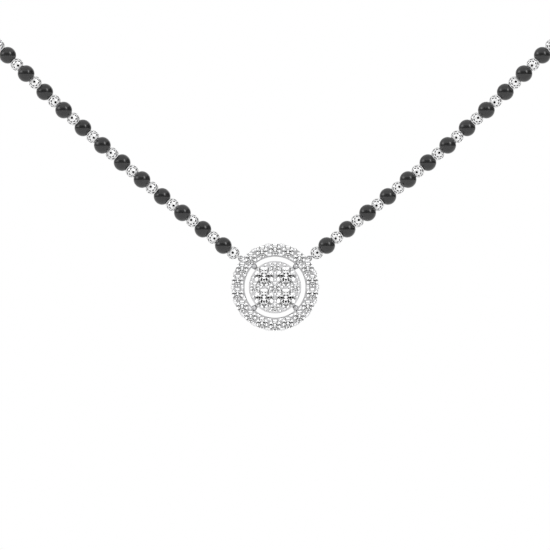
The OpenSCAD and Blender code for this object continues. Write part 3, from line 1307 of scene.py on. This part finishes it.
@dataclass
class Sky:
    """The world's nodes, with two sockets that tell where a ray goes, in degrees.

    Args:
        made: The nodes.
        azimuth: To the right of the front.
        elevation: Above the horizon.
    """

    made: Nodes
    azimuth: Socket
    elevation: Socket

    def in_band(self, band: Band) -> Socket:
        """Adds the mask of a band.

        Args:
            band: The band.

        Returns:
            The mask's socket, 1 in the band.
        """
        rise = self.made.ramp(self.elevation, band.low - band.low_soft, band.low + band.low_soft)
        top, bottom = band.high + band.high_soft, band.high - band.high_soft
        return self.made.math("MULTIPLY", rise, self.made.ramp(self.elevation, bottom, top, 1.0, 0.0))

    def with_windows(self, light: Socket, windows: Iterable[Window]) -> Socket:
        """Adds windows to the light.

        Args:
            light: The light without them.
            windows: The windows.

        Returns:
            The light with them.
        """
        work = self.made.math
        for window in windows:
            across = work("DIVIDE", work("SUBTRACT", self.azimuth, window.azimuth), window.wide)
            upright = work("DIVIDE", work("SUBTRACT", self.elevation, window.elevation), window.high)
            away = work("MULTIPLY_ADD", across, across, work("MULTIPLY", upright, upright))
            fade = work("EXPONENT", work("MULTIPLY", away, -1.0))
            light = work("ADD", light, work("MULTIPLY", fade, window.strength))
        return light


@dataclass
class Studio:
    """Floor, surrounding light and camera. Angles are in degrees.

    Args:
        pixel: Size of a picture's pixel at the beads.
        pixels: Width of the picture.
        distance: From the camera to the plane where a pixel has that size.
        plane_behind: How far that plane is behind the foremost silver bead.
        pendant_down: How far the pendant's middle is below the picture's middle, in pixels.
        view_range: Nearest and farthest distance that the camera shows.
        floor_drop: How far the floor is below the lowest bead or stone.
        floor_radius: Radius of the floor.
        floor_sides: Sides of its edge.
        floor_rim: Width of its rim.
        floor_finish: Its finish.
        band: Dark band that the beads mirror.
        band_light: Light in the band.
        band_right: Azimuths from which and up to which the band pales on the right, and what is left of it.
        band_left: The same on the left, from its far end.
        windows: Bright patches that the beads mirror.
        stone_band: Dark band that is seen through the stones.
        stone_light: Light that is seen through the stones from the front.
        stone_behind: Light that is seen through them from behind.
        stone_sides: Azimuths between which the one turns into the other.
        stone_windows: Bright patches that are seen through the stones.
        bounces: How often light may bounce.
    """

    pixel: float = 0.136 * MM
    pixels: int = 550
    distance: float = 1.5
    plane_behind: float = 1.4 * MM
    pendant_down: float = 12.2
    view_range: tuple[float, float] = (0.05, 50.0)
    floor_drop: float = 0.09
    floor_radius: float = 2.0
    floor_sides: int = 96
    floor_rim: float = 0.02
    floor_finish: FloorFinish = FloorFinish()
    band: Band = field(default_factory=lambda: Band(-4.0, 34.0, 1.5, 8.0))
    band_light: float = 0.03
    band_right: tuple[float, float, float] = (112.0, 140.0, 0.45)
    band_left: tuple[float, float, float] = (-128.0, -92.0, 0.3)
    windows: tuple[Window, ...] = (
        Window(40.0, 30.0, 11.0, 15.0, 6.0),
        Window(-78.0, 23.0, 22.0, 12.0, 3.6),
        Window(153.0, 22.0, 16.0, 12.0, 1.5),
    )
    stone_band: Band = field(default_factory=lambda: Band(-25.0, 12.0, 2.5, 7.0))
    stone_light: float = 2.0
    stone_behind: float = 0.3
    stone_sides: tuple[float, float] = (90.0, 125.0)
    stone_windows: tuple[Window, ...] = (
        Window(46.0, 39.0, 18.0, 8.0, 1.2),
        Window(-70.0, 24.0, 11.0, 10.0, 2.2),
    )
    bounces: int = 24

    def camera(self) -> None:
        """Adds the camera, level, square to the pendant and far off."""
        data = bpy.data.cameras.new("front_camera")
        made = bpy.data.objects.new("front_camera", data)
        bpy.context.scene.collection.objects.link(made)
        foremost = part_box("silver_beads_right")[0].y
        height = pendant_middle().z + self.pendant_down * self.pixel
        made.location = (0.0, foremost + self.plane_behind - self.distance, height)
        made.rotation_euler = (math.radians(90), 0.0, 0.0)
        data.lens = data.sensor_width * self.distance / (self.pixel * self.pixels)
        data.clip_start, data.clip_end = self.view_range
        bpy.context.scene.camera = made

    def floor(self) -> None:
        """Adds a wide round floor with a rim."""
        bpy.ops.object.select_all(action="DESELECT")
        bpy.ops.mesh.primitive_circle_add(
            vertices=self.floor_sides,
            radius=self.floor_radius,
            fill_type="NGON",
            location=(0.0, 0.0, CAD_BOX[0].z - self.floor_drop),
        )
        made = bpy.context.object
        made.name = "studio_floor"
        bpy.ops.object.mode_set(mode="EDIT")
        bpy.ops.mesh.select_all(action="SELECT")
        bpy.ops.mesh.inset(thickness=self.floor_rim)
        bpy.ops.object.mode_set(mode="OBJECT")
        select_only(made)
        bpy.ops.object.transform_apply(location=True, rotation=True, scale=True)
        made.data.materials.append(self.floor_finish.material())
        made.visible_transmission = False

    def surroundings(self) -> None:
        """Builds the light that is mirrored, the light seen through the stones, and the backdrop."""
        world = bpy.data.worlds.new("soft_studio")
        bpy.context.scene.world = world
        world.use_nodes = True
        made = Nodes(world.node_tree)
        world.node_tree.nodes.clear()
        x, y, z = made.split(made.add("ShaderNodeTexCoord").outputs["Generated"])
        elevation = made.math("DEGREES", made.math("ARCSINE", z))
        azimuth = made.math("DEGREES", made.math("ARCTAN2", x, made.math("MULTIPLY", y, -1.0)))
        sky = Sky(made, azimuth, elevation)
        ray = made.add("ShaderNodeLightPath").outputs
        through = ray["Is Transmission Ray"]
        kept = made.math("MULTIPLY", self.mirrored(sky), made.math("SUBTRACT", 1.0, through))
        strength = made.math("MULTIPLY_ADD", self.seen_through_stones(sky), through, kept)
        studio = made.add("ShaderNodeBackground", {"Strength": strength}).outputs[0]
        backdrop = made.add("ShaderNodeBackground", {"Color": (1.0, 1.0, 1.0, 1.0)}).outputs[0]
        both = made.add("ShaderNodeMixShader", {0: ray["Is Camera Ray"], 1: studio, 2: backdrop})
        made.add("ShaderNodeOutputWorld", {"Surface": both.outputs[0]})

    def mirrored(self, sky: Sky) -> Socket:
        """Light that beads and metal mirror: white, with a dark band in front and soft windows in it.

        Args:
            sky: The world's nodes and directions.

        Returns:
            The light in each direction.
        """
        made = sky.made
        right_start, right_end, right_share = self.band_right
        left_end, left_start, left_share = self.band_left
        right = made.ramp(sky.azimuth, right_start, right_end, 1.0, right_share)
        left = made.ramp(sky.azimuth, left_end, left_start, left_share, 1.0)
        dark = made.math("MULTIPLY", sky.in_band(self.band), made.math("MULTIPLY", right, left))
        light = made.math("MULTIPLY_ADD", dark, self.band_light - 1.0, 1.0)
        return sky.with_windows(light, self.windows)

    def seen_through_stones(self, sky: Sky) -> Socket:
        """Light that is seen through the clear stones: bright, with a dark band at the horizon.

        Args:
            sky: The world's nodes and directions.

        Returns:
            The light in each direction.
        """
        made = sky.made
        aside = made.math("ABSOLUTE", sky.azimuth)
        lit = made.ramp(aside, *self.stone_sides, self.stone_light, self.stone_behind)
        clear = made.math("SUBTRACT", 1.0, sky.in_band(self.stone_band))
        return sky.with_windows(made.math("MULTIPLY", lit, clear), self.stone_windows)

    def colours(self) -> None:
        """Keeps the plain view of colours, so that white stays white."""
        view = bpy.context.scene.view_settings
        view.view_transform = "Standard"
        view.look = "None"
        view.exposure = 0.0
        view.gamma = 1.0

    def depth(self) -> None:
        """Lets light pass through and between the stones often enough to come out again."""
        cycles = bpy.context.scene.cycles
        cycles.max_bounces = self.bounces
        cycles.transmission_bounces = self.bounces
        cycles.glossy_bounces = self.bounces // 2

    def build(self) -> None:
        """Sets up the whole studio."""
        self.camera()
        self.floor()
        self.surroundings()
        self.colours()
        self.depth()


def main() -> None:
    """Builds and dresses the necklace, piece by piece."""
    logging.basicConfig(level=logging.INFO, format="%(name)s: %(message)s")
    Studio().build()
    Pendant().dress()
    Threads().dress()
    Clasp().dress()
    black_master = BlackBead().build(BlackStone().material())
    silver = SilverBead()
    thread = tuple(silver.thread_way())
    outside = TurnedSilver("bead_silver", thread=thread)
    # Painted shade: the bottoms of the cuts get near-black tones where shade falls in them.
    cuts = TurnedSilver("bead_silver_cut_shade", bright=CUT_SHADE_LIGHTER, soft=CUT_SHADE_DARKER, thread=thread)
    silver_master = silver.build([finish.material() for finish in (outside, PitFinish(), cuts)])
    bead_panel = SoftPanel("bead_panel", power=8.0)
    pendant_panel = SoftPanel("pendant_panel", power=9.5)
    pendant_panel.light(frame["nodes"]["pendant_setting"])
    for side in Side:
        string = BeadString(side)
        string.read()
        BlackBeads(string).build(black_master)
        bead_panel.light(SilverBeads(string).build(silver_master))
    for master in (black_master, silver_master):
        bpy.data.objects.remove(master)


if __name__ == "__main__":
    main()
